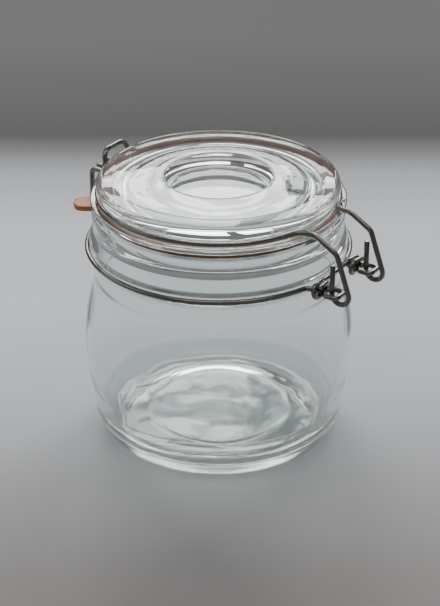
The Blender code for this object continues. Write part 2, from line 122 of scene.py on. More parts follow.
def rounded(points, bends):
    """A path whose inner corners are turned at the given radii."""
    points = [Vector(point) for point in points]
    found = [points[0]]
    for before, corner, after, bend in zip(points, points[1:], points[2:], bends):
        arriving = (corner - before).normalized()
        leaving = (after - corner).normalized()
        turn = arriving.angle(leaving)
        reach = bend * sin(turn / 2) / cos(turn / 2)
        axis = arriving.cross(leaving).normalized()
        centre = corner - arriving * reach + axis.cross(arriving) * bend
        spoke = corner - arriving * reach - centre
        count = max(2, ceil(turn / ARC_STEP))
        for i in range(count + 1):
            found.append(centre + Matrix.Rotation(turn * i / count, 3, axis) @ spoke)
    return found + [points[-1]]


def section(points):
    """Places in the X-Z plane from (radius, height) pairs."""
    return [Vector((radius, 0, height)) for radius, height in points]


print("a quarter turn has", len(rounded([(0, 0, 0), (1, 0, 0), (1, 0, 1)], [0.2])) - 2, "points")

# %% [markdown]
# Glass is turned: a mould and a plunger leave a form that is the same all the way round. So the
# section is drawn once, as a chain of edges from the axis and back to it, and spun in a full circle.
# A ring's section is a closed chain away from the axis. The spin leaves a seam, and a pole where a
# chain ends on the axis. These are merged before the normals are worked out.

# %% Turning a section
ROUND_STEPS = 192
WELD = 0.000002


def spun(profile, steps=ROUND_STEPS, closed=False):
    """A bmesh of the section, a list of places in the X-Z plane, spun about the jar's axis."""
    shape = bmesh.new()
    corners = [shape.verts.new(place + Vector((JAR_X, 0, 0))) for place in profile]
    chain = [shape.edges.new(pair) for pair in zip(corners, corners[1:])]
    if closed:
        chain.append(shape.edges.new((corners[-1], corners[0])))
    bmesh.ops.spin(
        shape, geom=corners + chain, cent=(JAR_X, 0, 0), axis=(0, 0, 1), angle=2 * pi,
        steps=steps, use_merge=True,
    )
    bmesh.ops.remove_doubles(shape, verts=shape.verts[:], dist=WELD)
    bmesh.ops.recalc_face_normals(shape, faces=shape.faces[:])
    return shape


def finished(name, shape, body, node):
    """The bmesh as a smooth piece that rides on a body and stands for a CAD node, which is hidden."""
    mesh = bpy.data.meshes.new(name)
    shape.to_mesh(mesh)
    shape.free()
    mesh.shade_smooth()
    piece = bpy.data.objects.new(name, mesh)
    bpy.context.scene.collection.objects.link(piece)
    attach(piece, body)
    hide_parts(node)
    low = Vector(map(min, *[vertex.co for vertex in mesh.vertices]))
    high = Vector(map(max, *[vertex.co for vertex in mesh.vertices]))
    size = " x ".join(f"{length * MILLIMETRES:.1f}" for length in high - low)
    triangles = sum(len(face.vertices) - 2 for face in mesh.polygons)
    print(f"{name}: {triangles} triangles, {size} mm")
    return piece


# %% [markdown]
# The jar's body bellies out below the neck and its heel turns under to a narrow ring that it stands
# on. The neck has a groove for the wire between two soft beads, and the mouth a flange with a flat
# land for the rubber. A smooth curve through a few places gives the blown body; arcs give the lip
# and the heel, which the mould makes sharper. The body's shape is a list of pairs: a height, as a
# share of the wire's, and how far the wall has swelled there from the waist towards its widest.

# %% The jar's outside
BODY_RADIUS = 0.0512
WAIST_RADIUS = 0.0472
BODY_SHAPE = (
    (0.337, 0.751), (0.425, 0.918), (0.511, 1.006), (0.644, 0.817), (0.812, 0.131), (0.875, 0.0),
)
GROOVE_RADIUS = 0.0482
BEAD_BELOW_OUT = 0.0004
BEAD_BELOW_DROP = 0.0036
BEAD_ABOVE_OUT = 0.0006
BEAD_ABOVE_RISE = 0.0038
FLANGE_RADIUS = 0.0476
FLANGE_EDGE = 0.0010
FLANGE_FOOT = LAND_HEIGHT - 0.0038
BEARING_RADIUS = 0.0405
BEARING_RISE = 0.0003
HEEL_WIDTH = 0.0077
HEEL_HEIGHT = 0.0150
HEEL_START = radians(-14)
CURVE_STEPS = 8
EDGE_STEPS = 8
EDGE_UNDER_STEPS = 6
HEEL_STEPS = 20

body_side = section(
    (WAIST_RADIUS + share * (BODY_RADIUS - WAIST_RADIUS), height * WIRE_HEIGHT)
    for height, share in BODY_SHAPE
)
neck = section((
    (GROOVE_RADIUS + BEAD_BELOW_OUT, WIRE_HEIGHT - BEAD_BELOW_DROP),
    (GROOVE_RADIUS, WIRE_HEIGHT - WIRE_RADIUS),
    (GROOVE_RADIUS, WIRE_HEIGHT + WIRE_RADIUS),
    (GROOVE_RADIUS + BEAD_ABOVE_OUT, WIRE_HEIGHT + BEAD_ABOVE_RISE),
    (WAIST_RADIUS, (WIRE_HEIGHT + BEAD_ABOVE_RISE + FLANGE_FOOT) / 2),
))
edge = (FLANGE_EDGE, FLANGE_EDGE)
edge_middle = FLANGE_RADIUS - FLANGE_EDGE
lip = arc((edge_middle, LAND_HEIGHT - FLANGE_EDGE), edge, pi / 2, 0, EDGE_STEPS)
lip += arc((edge_middle, FLANGE_FOOT + FLANGE_EDGE), edge, 0, -pi / 3, EDGE_UNDER_STEPS)
heel_size = (HEEL_WIDTH, HEEL_HEIGHT - BEARING_RISE)
heel = arc((BEARING_RADIUS, HEEL_HEIGHT), heel_size, HEEL_START, -pi / 2, HEEL_STEPS)
outside = flowing([heel[0]] + body_side + neck, CURVE_STEPS)
print(len(outside), "places down the outside")

# %% [markdown]
# Underneath, the ring that the jar stands on turns in to a shallow hollow, so that the jar can't
# rock. Its shape is a list of pairs: how far in from the ring's edge, and how high. Inside, a thick
# floor turns up in a quarter of an oval into a wall that follows the outside, and the mouth ends in
# a straight bore for the lid's plug.

# %% The jar's underside and inside
BEARING_WIDTH = 0.0032
HOLLOW_EDGE = BEARING_RADIUS - BEARING_WIDTH
HOLLOW_SHAPE = ((0.0, 0.0004), (0.0028, 0.0014), (0.0068, 0.0026), (0.0098, 0.0032))
HOLLOW_HALFWAY_HEIGHT = 0.0035
HOLLOW_HEIGHT = 0.0036
HOLLOW_STEPS = 6
WALL = 0.0032
NECK_WALL = 0.0038
FLOOR_THICKNESS = 0.0060
FLOOR_RINGS = (0, 0.012, 0.024)
INNER_HEEL_WIDTH = 0.0070
INNER_HEEL_HEIGHT = 0.0100
INNER_HEEL_RADIUS = BEARING_RADIUS + HEEL_WIDTH - WALL
MOUTH_RADIUS = 0.0395
MOUTH_DEPTH = 0.0065
BORE_EASE = 0.0011

under = flowing(
    section([(BEARING_RADIUS, BEARING_RISE), (BEARING_RADIUS - BEARING_WIDTH / 2, 0)])
    + section((HOLLOW_EDGE - inwards, height) for inwards, height in HOLLOW_SHAPE)
    + section([(HOLLOW_EDGE / 2, HOLLOW_HALFWAY_HEIGHT), (0, HOLLOW_HEIGHT)]),
    HOLLOW_STEPS,
)
floor_inside = section((radius, FLOOR_THICKNESS) for radius in FLOOR_RINGS)
inner_heel = arc(
    (INNER_HEEL_RADIUS - INNER_HEEL_WIDTH, FLOOR_THICKNESS + INNER_HEEL_HEIGHT),
    (INNER_HEEL_WIDTH, INNER_HEEL_HEIGHT), -pi / 2, 0, HEEL_STEPS,
)
bore_foot = LAND_HEIGHT - MOUTH_DEPTH
throat = flowing(
    [inner_heel[-1]]
    + [place - Vector((WALL, 0, 0)) for place in body_side[:-1]]
    + section((
        (WAIST_RADIUS - NECK_WALL, body_side[-1].z),
        (GROOVE_RADIUS - NECK_WALL, WIRE_HEIGHT),
        (MOUTH_RADIUS + BORE_EASE, bore_foot - BORE_EASE),
        (MOUTH_RADIUS, bore_foot + BORE_EASE),
    )),
    CURVE_STEPS,
)
mouth = arc((MOUTH_RADIUS + FLANGE_EDGE, LAND_HEIGHT - FLANGE_EDGE), edge, pi, pi / 2, EDGE_STEPS)
inside = floor_inside + inner_heel[:-1] + throat + mouth
jar_section = inside + lip + outside[::-1] + heel[1:-1] + under
print(len(jar_section), "places in the jar's whole section")

# %% [markdown]
# Two things keep a moulded jar from looking like a lathe's work. Its wall is never quite even,
# because the glass is blown against the mould and the inside is left to itself, so the inner face
# wanders by about a tenth of a millimetre over two or three centimetres. And the two halves of the
# mould leave a faint ridge down each side. Both are moves of single vertices.

# %% The jar's uneven wall and mould seams
SEAM_WIDTH = 0.0006
SEAM_HEIGHT = 0.00005
SEAM_TOP = WIRE_HEIGHT - 0.004
WANDER = 0.00022
WANDER_LENGTH = 0.022
FACING_INWARDS = -0.2


def from_axis(place):
    return hypot(place.x - JAR_X, place.y)


def outwards(place):
    return Vector((place.x - JAR_X, place.y, 0)).normalized()


def make_jar():
    shape = spun(jar_section)
    inner_reach = MOUTH_RADIUS - WALL
    for vertex in shape.verts:
        place = vertex.co
        radius = from_axis(place)
        inner = radius > WELD and vertex.normal.dot(outwards(place)) < FACING_INWARDS
        if inner and FLOOR_THICKNESS + INNER_HEEL_HEIGHT < place.z < bore_foot:
            vertex.co += outwards(place) * noise.noise(place / WANDER_LENGTH) * WANDER
        elif not inner and HEEL_HEIGHT < place.z < SEAM_TOP and radius > inner_reach:
            across = abs(place.x - JAR_X)
            if across < SEAM_WIDTH:
                vertex.co += outwards(place) * SEAM_HEIGHT * (1 - across / SEAM_WIDTH)
    return finished("jar_glass", shape, "jar", "glass_jar")


jar = make_jar()

# %% [markdown]
# The lid is pressed, not blown, so its corners are crisper: a low crown with a round well in the
# middle, a shoulder that falls gently to a rounded rim with a groove for its wire, a lip that covers
# the rubber, and underneath a ring that plugs the mouth round a hollow, with a boss under the well.
# A polyline says all of that: each of its rows is a corner's radius and height, and the radius at
# which the corner is turned. The top ripples a little where the glass cooled.

# %% The lid
RIM_RADIUS = 0.0456
RIM_FALL = 0.0007
SHOULDER_WIDTH = 0.0058
SHOULDER_CROWN = 0.0001
WELL_RADIUS = 0.0204
WELL_SLOPE = 0.0012
WELL_FLOOR = LID_HIGHEST - 0.0058
LID_TOP = LID_HIGHEST - 0.0003
LIP_RADIUS = 0.0480
LIP_TOP = LID_SEAT + 0.0019
LID_RING = RIM_RADIUS + GAP * 2 - WIRE_RADIUS
LID_WIRE_HEIGHT = LIP_TOP + GAP + WIRE_RADIUS
RIM_BOTTOM = LID_WIRE_HEIGHT + GAP + WIRE_RADIUS
GROOVE_FLOOR = LID_RING - WIRE_RADIUS - GAP
PLUG_RADIUS = MOUTH_RADIUS - 0.0009
PLUG_BOTTOM = LID_SEAT - 0.0040
LID_HOLLOW_RADIUS = PLUG_RADIUS - 0.0032
LID_HOLLOW_SLOPE = 0.0008
LID_HOLLOW_TOP = LID_TOP - 0.0082
BOSS_RADIUS = WELL_RADIUS + 0.0045
BOSS_FLARE = 0.0010
BOSS_TAPER = 0.0006
BOSS_BOTTOM = WELL_FLOOR - 0.0043
LID_CORNERS = (
    (0, WELL_FLOOR, 0),
    (WELL_RADIUS - WELL_SLOPE, WELL_FLOOR, 0.0013),
    (WELL_RADIUS, LID_HIGHEST, 0.0009),
    (RIM_RADIUS - SHOULDER_WIDTH, LID_TOP + SHOULDER_CROWN, 0.005),
    (RIM_RADIUS, LID_TOP - RIM_FALL, 0.0029),
    (RIM_RADIUS, RIM_BOTTOM, 0.0007),
    (GROOVE_FLOOR, RIM_BOTTOM, 0.0011),
    (GROOVE_FLOOR, LIP_TOP, 0.0011),
    (LIP_RADIUS, LIP_TOP, 0.0005),
    (LIP_RADIUS, LID_SEAT, 0.0005),
    (PLUG_RADIUS, LID_SEAT, 0.0004),
    (PLUG_RADIUS, PLUG_BOTTOM, 0.0009),
    (LID_HOLLOW_RADIUS, PLUG_BOTTOM, 0.0009),
    (LID_HOLLOW_RADIUS - LID_HOLLOW_SLOPE, LID_HOLLOW_TOP, 0.0018),
    (BOSS_RADIUS + BOSS_FLARE, LID_HOLLOW_TOP, 0.0016),
    (BOSS_RADIUS - BOSS_TAPER, BOSS_BOTTOM, 0.0014),
    (0, BOSS_BOTTOM, 0),
)
LONGEST_EDGE = 0.002
RIPPLE_DEPTH = 0.0012
RIPPLE_LENGTH = 0.018
RIPPLE = 0.00005


def subdivided(points, longest):
    """The path with points added where two lie further apart than that."""
    found = []
    for one, other in zip(points, points[1:]):
        count = max(1, ceil((other - one).length / longest))
        found += [one.lerp(other, i / count) for i in range(count)]
    return found + [points[-1]]


def make_lid():
    corners = section((radius, height) for radius, height, bend in LID_CORNERS)
    bends = [bend for radius, height, bend in LID_CORNERS[1:-1]]
    shape = spun(subdivided(rounded(corners, bends), LONGEST_EDGE))
    for vertex in shape.verts:
        place = vertex.co
        if place.z > LID_TOP - RIPPLE_DEPTH and from_axis(place) > WELL_RADIUS:
            vertex.co.z += noise.noise(place / RIPPLE_LENGTH) * RIPPLE
    return finished("lid_glass", shape, "lid", "glass_lid")


lid = make_lid()

# %% [markdown]
# The rubber ring is stamped from a sheet, so its faces are flat and its edges nearly square. Its tab
# is part of the same stamping: the faces of the outer edge where the tab begins are pushed out in a
# few steps, narrower each time, and the bevel then softens every edge alike.

# %% The rubber ring
RING_INNER = PLUG_RADIUS + GAP
RING_OUTER = RING_INNER + 0.0066
RING_EDGE = 0.0003
TAB_ANGLE = radians(216)
TAB_HALF = 0.0050
TAB_FACING = 0.9
TAB_PUSHES = ((0.0020, 0.96), (0.0030, 0.96), (0.0022, 0.90), (0.0011, 0.70), (0.0004, 0.55))
RUBBER_STEPS = 240
SHARP_ANGLE = 0.7


def make_rubber():
    low = ring_low.z
    high = ring_high.z
    corners = section(((RING_INNER, low), (RING_INNER, high), (RING_OUTER, high), (RING_OUTER, low)))
    shape = spun(corners, RUBBER_STEPS, closed=True)
    along = Vector((cos(TAB_ANGLE), sin(TAB_ANGLE), 0))
    across = Vector((-along.y, along.x, 0))
    middle = Vector((JAR_X, 0, 0))
    front = [
        face for face in shape.faces
        if face.normal.dot(along) > TAB_FACING
        and abs((face.calc_center_median() - middle).dot(across)) < TAB_HALF
        and (face.calc_center_median() - middle).dot(along) > RING_INNER
    ]
    for push, narrow in TAB_PUSHES:
        moved = bmesh.ops.extrude_face_region(shape, geom=front)
        bmesh.ops.delete(shape, geom=front, context="FACES")
        front = [item for item in moved["geom"] if isinstance(item, bmesh.types.BMFace)]
        tip = {vertex for face in front for vertex in face.verts}
        for vertex in tip:
            off_middle = (vertex.co - middle).dot(across)
            vertex.co += along * push - across * off_middle * (1 - narrow)
    bmesh.ops.recalc_face_normals(shape, faces=shape.faces[:])
    sharp = [
        edge for edge in shape.edges
        if len(edge.link_faces) == 2 and edge.calc_face_angle() > SHARP_ANGLE
    ]
    bmesh.ops.bevel(
        shape, geom=sharp, offset=RING_EDGE, segments=3, profile=0.5, affect="EDGES", material=-1,
    )
    return finished("rubber_ring_soft", shape, "lid", "rubber_ring")


rubber = make_rubber()

# %% [markdown]
# A wire is a round bar along a path. A circle is extruded from point to point and turned each time
# by the bend of the path, as a bender feeds and turns real wire. While it goes, each vertex keeps
# how far along the wire it lies and where round it, so that the marks of the drawing die can follow
# the wire later on. The ends are cut square with pliers, and the cut is slightly crowned: two insets
# shrink its face and lift it, each by its own shares of the cut's edge.

# %% Sweeping a wire
WIRE_SIDES = 20
RING_STEP = radians(2.5)
SHORTEST_STEP = 0.00012
CUT_EDGE = 0.00022
CUT_INSETS = ((1.0, 0.8), (1.2, 0.25))
CUT_FINISH = 1


def turn_off(radius, height, leg, bend, out):
    """Where a ring turns outwards into a straight leg at y = leg: the ring's angle, and the bend."""
    middle_y = leg + bend
    middle_x = sqrt((radius + bend) ** 2 - middle_y**2)
    start = atan2(-middle_y, -middle_x)
    count = max(2, ceil((start + pi / 2) / -ARC_STEP))
    turns = [start + (-pi / 2 - start) * i / count for i in range(count + 1)]
    bent = [Vector((out * (middle_x + bend * cos(t)), middle_y + bend * sin(t), height)) for t in turns]
    return atan2(bent[0].y, bent[0].x), bent


def ring_arc(radius, height, start, end):
    count = max(2, ceil(abs(end - start) / RING_STEP))
    turns = [start + (end - start) * i / count for i in range(count + 1)]
    return [Vector((radius * cos(t), radius * sin(t), height)) for t in turns]


def whole_wire(half):
    """A path that starts at y = 0, with its mirror image before it, moved to the jar's axis."""
    both = [Vector((place.x, -place.y, place.z)) for place in half[:0:-1]] + list(half)
    kept = [both[0]]
    for place in both[1:]:
        if (place - kept[-1]).length > SHORTEST_STEP:
            kept.append(place)
    return [place + Vector((JAR_X, 0, 0)) for place in kept]


def edges_between(ring):
    """The edges that join the vertices of a ring, each of them once."""
    found = (edge for vertex in ring for edge in vertex.link_edges if edge.other_vert(vertex) in ring)
    return list(dict.fromkeys(found))


def swept(path):
    """A bmesh of a round bar along the path."""
    shape = bmesh.new()
    grain = shape.verts.layers.float_vector.new("grain")
    heading = (path[1] - path[0]).normalized()
    start = Matrix.Translation(path[0]) @ heading.to_track_quat("Z", "Y").to_matrix().to_4x4()
    made = bmesh.ops.create_circle(shape, radius=WIRE_RADIUS, segments=WIRE_SIDES, matrix=start)
    first = made["verts"]
    for i, vertex in enumerate(first):
        turn = 2 * pi * i / WIRE_SIDES
        vertex[grain] = (0, WIRE_RADIUS * cos(turn), WIRE_RADIUS * sin(turn))
    ring = first
    run = 0.0
    for i in range(1, len(path)):
        grown = bmesh.ops.extrude_edge_only(shape, edges=edges_between(ring))["geom"]
        ring = [item for item in grown if isinstance(item, bmesh.types.BMVert)]
        step = path[i] - path[i - 1]
        bmesh.ops.translate(shape, verts=ring, vec=step)
        run += step.length
        if i + 1 < len(path):
            ahead = (path[i + 1] - path[i]).normalized()
            bend = heading.rotation_difference(ahead).to_matrix()
            bmesh.ops.rotate(shape, verts=ring, cent=path[i], matrix=bend)
            heading = ahead
        for vertex in ring:
            vertex[grain] = (run, vertex[grain].y, vertex[grain].z)
    for end, way in ((first, path[0] - path[1]), (ring, path[-1] - path[-2])):
        cap_the_end(shape, end, way.normalized())
    bmesh.ops.recalc_face_normals(shape, faces=shape.faces[:])
    return shape


def cap_the_end(shape, ring, way):
    """Closes a wire's end with a slightly crowned cut."""
    cap = bmesh.ops.contextual_create(shape, geom=edges_between(ring))["faces"]
    for inset, rise in CUT_INSETS:
        bmesh.ops.inset_region(shape, faces=cap, thickness=inset * CUT_EDGE, use_even_offset=True)
        bmesh.ops.translate(shape, verts=cap[0].verts[:], vec=way * (rise * CUT_EDGE))
    for face in cap:
        face.material_index = CUT_FINISH


print("a wire has", WIRE_SIDES, "sides")

# %% [markdown]
# The long neck wire makes the ring round the neck. Behind the jar each of its ends turns out into a
# flat eye for the lid's hook and comes back beside itself. In front it bows out into a straight bar,
# the catch that the lever's hooks go under.

# %% The neck wire
NECK_RING = GROOVE_RADIUS + GAP + WIRE_RADIUS
NECK_TURN = 0.0025
CATCH_X = PIVOT_REACH + 0.0022
CATCH_HALF = 0.0057
CATCH_BEND = 0.0017
EYE_SPREAD = 0.0120
EYE_ROOT = 0.0028
EYE_HALF = 0.0032
EYE_LENGTH = 0.0044
EYE_FLARE = 0.0015
FLARE_BEND = 0.0008
EYE_BEND = 0.0016


def neck_wire_path():
    height = WIRE_HEIGHT
    outer_root = EYE_SPREAD + EYE_ROOT / 2
    inner_root = EYE_SPREAD - EYE_ROOT / 2
    front_angle, front_turn = turn_off(NECK_RING, height, CATCH_HALF, NECK_TURN, -1)
    back_angle, back_turn = turn_off(NECK_RING, height, outer_root, NECK_TURN, 1)
    catch = rounded(
        [(-CATCH_X, 0, height), (-CATCH_X, CATCH_HALF, height), front_turn[-1]], [CATCH_BEND],
    )
    wide_x = HINGE_REACH - EYE_LENGTH
    root_x = wide_x - EYE_FLARE
    eye = rounded(
        [
            back_turn[-1],
            (root_x, outer_root, height),
            (wide_x, EYE_SPREAD + EYE_HALF, height),
            (HINGE_REACH, EYE_SPREAD + EYE_HALF, height),
            (HINGE_REACH, EYE_SPREAD - EYE_HALF, height),
            (wide_x, EYE_SPREAD - EYE_HALF, height),
            (root_x, inner_root, height),
            (NECK_RING + WIRE_RADIUS, inner_root, height),
        ],
        [FLARE_BEND, FLARE_BEND, EYE_BEND, EYE_BEND, FLARE_BEND, FLARE_BEND],
    )
    ring = ring_arc(NECK_RING, height, front_angle, back_angle)
    return catch + front_turn[::-1] + ring + back_turn + eye


neck_shape = swept(whole_wire(neck_wire_path()))
neck_wire = finished("neck_wire_bent", neck_shape, "jar", "neck_wire")

# %% [markdown]
# A second, short wire closes the ring behind the neck. It leaves the neck in a smooth curve that
# starts along the ring and arrives across an eye's legs. Each of its ends is then wound once and a
# bit round both legs, side by side, so the winding is an oval: two half circles joined by two
# straights. Counting the distance round the oval gives the place of every point of the winding.

# %% The rear wire
WRAP_RADIUS = WIRE_RADIUS * 2 + GAP
BINDING_START = NECK_RING + 0.0017
BINDING_TURNS = 1.2
BINDING_LEAD = radians(5.2)
BINDING_STEPS = 48
LEAD_STEPS = 16
COIL_GAP = 0.00045


def oval(run):
    """A place on the oval round the eye's two legs, by distance from above the inner leg."""
    inner = EYE_SPREAD - EYE_ROOT / 2
    outer = EYE_SPREAD + EYE_ROOT / 2
    half_turn = pi * WRAP_RADIUS
    if run < EYE_ROOT:
        return inner + run, WRAP_RADIUS
    run -= EYE_ROOT
    if run < half_turn:
        turn = pi / 2 - run / WRAP_RADIUS
        return outer + WRAP_RADIUS * cos(turn), WRAP_RADIUS * sin(turn)
    run -= half_turn
    if run < EYE_ROOT:
        return outer - run, -WRAP_RADIUS
    turn = -pi / 2 - (run - EYE_ROOT) / WRAP_RADIUS
    return inner + WRAP_RADIUS * cos(turn), WRAP_RADIUS * sin(turn)


def rear_wire_path():
    neck_part = ring_arc(NECK_RING, WIRE_HEIGHT, 0, BINDING_LEAD)
    leave = neck_part[-1]
    heading = Vector((-sin(BINDING_LEAD), cos(BINDING_LEAD), 0))
    meet = Vector((BINDING_START, EYE_SPREAD - EYE_ROOT / 2, WIRE_HEIGHT + WRAP_RADIUS))
    span = (meet - leave).length
    lead = []
    for i in range(1, LEAD_STEPS):
        t = i / LEAD_STEPS
        away = leave * (2 * t**3 - 3 * t**2 + 1) + heading * span * (t**3 - 2 * t**2 + t)
        near = meet * (3 * t**2 - 2 * t**3) + Vector((0, span, 0)) * (t**3 - t**2)
        lead.append(away + near)
    once = 2 * EYE_ROOT + 2 * pi * WRAP_RADIUS
    advance = (WIRE_RADIUS * 2 + COIL_GAP) / once
    count = ceil(BINDING_TURNS * BINDING_STEPS)
    winding = []
    for i in range(count + 1):
        run = BINDING_TURNS * once * i / count
        y, z = oval(run % once)
        winding.append(Vector((BINDING_START + run * advance, y, WIRE_HEIGHT + z)))
    return neck_part + lead + winding


rear_shape = swept(whole_wire(rear_wire_path()))
rear_wire = finished("rear_wire_wound", rear_shape, "jar", "rear_wire")

# %% [markdown]
# The lid's wire lies in the groove of the rim. Its two arms reach back over the neck, bend down and
# hook round the bars of the eyes from outside, and each ends in a straight stub that stands up
# again. In front the wire drops in a loop whose lower bar carries the lever.

# %% The lid wire
HOOK_RADIUS = 0.0035
KNEE_OUT = -0.0020
KNEE_UP = 0.0159
STUB_LENGTH = 0.0111
DROP_HALF = 0.0097
DROP_BEND = 0.0024
ARM_TURN = 0.0060
ARM_LEVEL = 0.0020
ARM_BEND = 0.0060
KNEE_BEND = 0.0040


def lid_wire_path():
    height = LID_WIRE_HEIGHT
    front_angle, front_turn = turn_off(LID_RING, height, DROP_HALF, DROP_BEND, -1)
    back_angle, back_turn = turn_off(LID_RING, height, EYE_SPREAD, ARM_TURN, 1)
    drop = rounded(
        [
            (-PIVOT_REACH, 0, PIVOT_HEIGHT),
            (-PIVOT_REACH, DROP_HALF, PIVOT_HEIGHT),
            (-PIVOT_REACH, DROP_HALF, height),
            front_turn[-1],
        ],
        [DROP_BEND, DROP_BEND],
    )
    meet = atan2(KNEE_UP, KNEE_OUT) - acos(HOOK_RADIUS / hypot(KNEE_OUT, KNEE_UP))
    count = ceil((meet + pi) / ARC_STEP)
    turns = [meet - (meet + pi) * i / count for i in range(count + 1)]
    middle = Vector((HINGE_REACH, EYE_SPREAD, WIRE_HEIGHT))
    hook = [middle + Vector((HOOK_RADIUS * cos(t), 0, HOOK_RADIUS * sin(t))) for t in turns]
    arm = rounded(
        [
            back_turn[-1],
            (back_turn[-1].x + ARM_LEVEL, EYE_SPREAD, height),
            (HINGE_REACH + KNEE_OUT, EYE_SPREAD, WIRE_HEIGHT + KNEE_UP),
            hook[0],
        ],
        [ARM_BEND, KNEE_BEND],
    )
    stub = Vector((HINGE_REACH - HOOK_RADIUS, EYE_SPREAD, WIRE_HEIGHT + STUB_LENGTH))
    ring = ring_arc(LID_RING, height, front_angle, back_angle)
    return drop + front_turn[::-1] + ring + back_turn + arm + hook + [stub]


lid_wire_shape = swept(whole_wire(lid_wire_path()))
lid_wire = finished("lid_wire_bent", lid_wire_shape, "lid", "lid_wire")

# %% [markdown]
# The lever is one wire too. From the middle of its finger loop it goes down a leg, round the lid
# wire's bar in a little more than one coil, and leaves the coil at a tangent into a hook. The hook
# lies where, after the lever has turned over and down, it takes hold of the catch from below.

# %% The latch lever
LATCH_TURN = radians(158)
LEVER_HALF = 0.0072
KNEE_IN = 0.0048
KNEE_HEIGHT = 0.0150
TIP_IN = 0.0035
TIP_HEIGHT = 0.0196
TIP_BEND = 0.0042
LEG_BEND = 0.0030
HOOK_TURN = radians(105)


def lever_path():
    centre = Vector((-PIVOT_REACH, 0, PIVOT_HEIGHT))
    catch_x = PIVOT_REACH - CATCH_X
    catch_z = WIRE_HEIGHT - PIVOT_HEIGHT
    bearing = atan2(catch_z, catch_x) - LATCH_TURN
    meet = atan2(KNEE_HEIGHT, KNEE_IN) + acos(WRAP_RADIUS / hypot(KNEE_IN, KNEE_HEIGHT))
    leave = bearing - pi / 2
    while leave < meet + 2 * pi:
        leave += 2 * pi
    pitch = WIRE_RADIUS * 2 + COIL_GAP
    count = ceil((leave - meet) / ARC_STEP)
    coil = []
    for i in range(count + 1):
        turn = meet + (leave - meet) * i / count
        across = LEVER_HALF - pitch * (turn - meet) / (2 * pi)
        coil.append(Vector((WRAP_RADIUS * cos(turn), across, WRAP_RADIUS * sin(turn))))
    loop = rounded(
        [
            (TIP_IN, 0, TIP_HEIGHT),
            (TIP_IN, LEVER_HALF, TIP_HEIGHT),
            (KNEE_IN, LEVER_HALF, KNEE_HEIGHT),
            coil[0],
        ],
        [TIP_BEND, LEG_BEND],
    )
    reach = hypot(catch_x, catch_z)
    middle = Vector((reach * cos(bearing), coil[-1].y, reach * sin(bearing)))
    count = ceil(HOOK_TURN / ARC_STEP)
    turns = [leave + HOOK_TURN * i / count for i in range(count + 1)]
    hook = [middle + Vector((WRAP_RADIUS * cos(t), 0, WRAP_RADIUS * sin(t))) for t in turns]
    return [centre + place for place in loop + coil + hook]


lever_shape = swept(whole_wire(lever_path()))
lever = finished("lever_bent", lever_shape, "latch", "latch_lever")

# %% [markdown]
# Every finish is built from nodes, and these helpers keep the recipes short. Each input of a node is
# fed either a value or another node's output. The helpers for noise, arithmetic, ranges and colours
# hand back their output, so a recipe reads from its pattern to its shader. Patterns read Object
# coordinates, which stay with the piece when it moves.

# %% Node helpers
def new_material(name):
    made = bpy.data.materials.new(name)
    made.use_nodes = True
    return made, made.node_tree, made.node_tree.nodes["Principled BSDF"]


def feed(tree, node, inputs):
    """Gives each of the node's inputs its value, or links it to another node's output."""
    for key, value in inputs.items():
        if isinstance(value, bpy.types.NodeSocket):
            tree.links.new(value, node.inputs[key])
        else:
            node.inputs[key].default_value = value


def add(tree, kind, inputs, **settings):
    """A node of that kind, with its own settings and its inputs fed."""
    node = tree.nodes.new(kind)
    for key, value in settings.items():
        setattr(node, key, value)
    feed(tree, node, inputs)
    return node


def object_places(tree):
    return add(tree, "ShaderNodeTexCoord", {}).outputs["Object"]


def noise_at(tree, places, scale, **inputs):
    """The grey value of a noise: the larger the scale, the smaller its spots."""
    return add(tree, "ShaderNodeTexNoise", {"Vector": places, "Scale": scale, **inputs}).outputs["Fac"]


def calculate(tree, operation, *values):
    """The result of a Math node on up to three numbers or outputs."""
    return add(tree, "ShaderNodeMath", dict(enumerate(values)), operation=operation).outputs[0]


def remap(tree, value, before, after=(0.0, 1.0), curve="LINEAR"):
    """A value moved from one range to another and kept inside it."""
    ends = {"From Min": before[0], "From Max": before[1], "To Min": after[0], "To Max": after[1]}
    inputs = {"Value": value, **ends}
    return add(tree, "ShaderNodeMapRange", inputs, interpolation_type=curve).outputs[0]


def mix(tree, share, one, other):
    """Two colours mixed. A Mix node takes its colours at inputs 6 and 7 and gives output 2."""
    return add(tree, "ShaderNodeMix", {0: share, 6: one, 7: other}, data_type="RGBA").outputs[2]


def give_relief(tree, shader, height, strength, depth):
    """Bends the shader's normal by a pattern of heights."""
    bump = add(tree, "ShaderNodeBump", {"Height": height, "Strength": strength, "Distance": depth})
    feed(tree, shader, {"Normal": bump.outputs["Normal"]})


def new_mask(name, **inputs):
    """An empty shader group with number inputs and one output, a mask between 0 and 1."""
    group = bpy.data.node_groups.new(name, "ShaderNodeTree")
    for label, value in inputs.items():
        socket = group.interface.new_socket(label, in_out="INPUT", socket_type="NodeSocketFloat")
        socket.default_value = value
    group.interface.new_socket("Mask", in_out="OUTPUT", socket_type="NodeSocketFloat")
    return group, group.nodes.new("NodeGroupInput").outputs, group.nodes.new("NodeGroupOutput")


def mask_from(tree, group, **inputs):
    """The mask of a group that is placed in a material with its own values."""
    return add(tree, "ShaderNodeGroup", inputs, node_tree=group).outputs["Mask"]


print("node helpers ready")

# %% [markdown]
# The finishes share two masks. The first is faint soft marks, as fingers and drying water leave them
# on glass, rubber and steel. Two noises of unlike size are multiplied and pulled to a mask, so that
# the marks come in patches with clean places between them. The second tells the outer part of a
# turned piece from its middle, by the distance from the jar's axis.

# %% Shared masks
FINER_MARKS = 7.0
MARK_EDGE = 0.55


